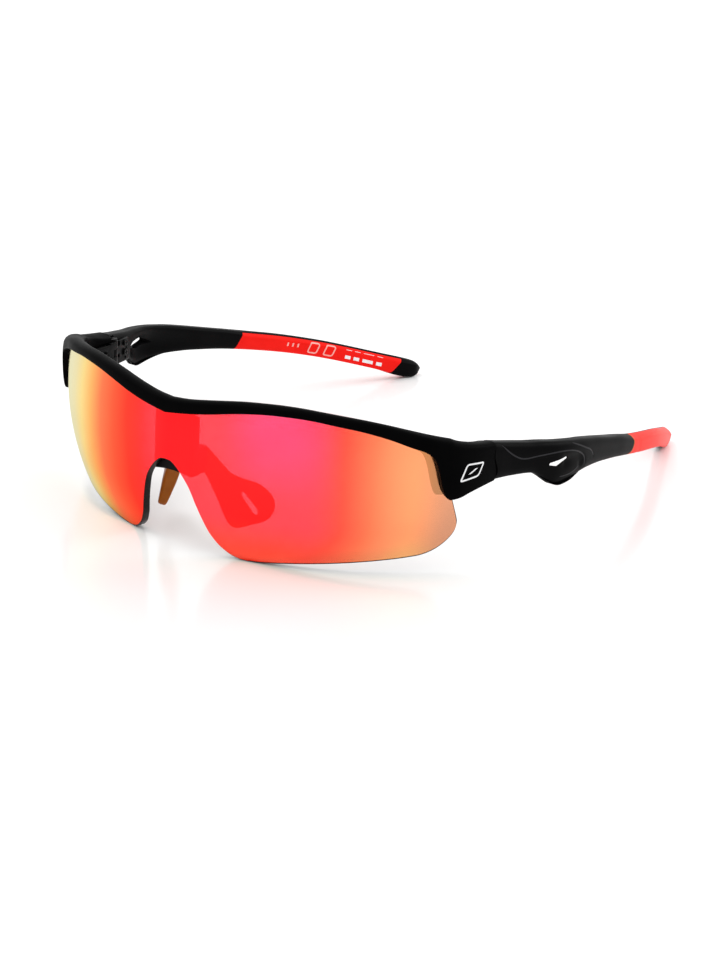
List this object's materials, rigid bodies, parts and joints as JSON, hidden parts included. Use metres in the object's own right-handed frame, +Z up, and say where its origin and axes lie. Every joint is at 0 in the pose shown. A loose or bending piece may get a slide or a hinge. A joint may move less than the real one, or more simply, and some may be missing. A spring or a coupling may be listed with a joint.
{
  "type": "wraparound sport sunglasses",
  "caption": "Half-rim wraparound sport sunglasses: a curved mirrored shield lens held under a brow frame, soft nose pads, and hinged arms with rubber grips.",
  "frame": {"origin": "middle of the bounding box in plan, on the level the lower lens edge stands on", "axes": "+Z up, +X to the wearer's left, +Y from the lens back along the arms"},
  "size_m": [0.142, 0.1618, 0.0424],
  "materials": {
    "frame": "fine satin black moulding",
    "lens": "polished, red to gold mirror coating",
    "nose_pad": "translucent amber, satin",
    "hinge_metal": "blackened steel",
    "grip": "soft-touch red overmould"
  },
  "bodies": {
    "front": {"brow_frame": "frame", "shield_lens": "lens", "nose_bridge": "frame", "left_nose_pad": "nose_pad", "right_nose_pad": "nose_pad", "left_front_hinge_leaf": "hinge_metal", "right_front_hinge_leaf": "hinge_metal", "left_front_leaf_screws": "hinge_metal", "right_front_leaf_screws": "hinge_metal", "left_hinge_screw": "hinge_metal", "right_hinge_screw": "hinge_metal"},
    "left_arm": {"left_temple_arm": "frame", "left_arm_hinge_leaf": "hinge_metal", "left_arm_leaf_screws": "hinge_metal", "left_outer_grip": "grip", "left_inner_grip": "grip"},
    "right_arm": {"right_temple_arm": "frame", "right_arm_hinge_leaf": "hinge_metal", "right_arm_leaf_screws": "hinge_metal", "right_outer_grip": "grip", "right_inner_grip": "grip"}
  },
  "joints": [
    {"name": "left_temple_fold", "type": "hinge", "parent": "front", "child": "left_arm", "pos_m": [0.0604, -0.03273, 0.0281], "axis": [0, 0, 1], "range_deg": [0, 86]},
    {"name": "right_temple_fold", "type": "hinge", "parent": "front", "child": "right_arm", "pos_m": [-0.0604, -0.03273, 0.0281], "axis": [0, 0, -1], "range_deg": [0, 78]}
  ]
}
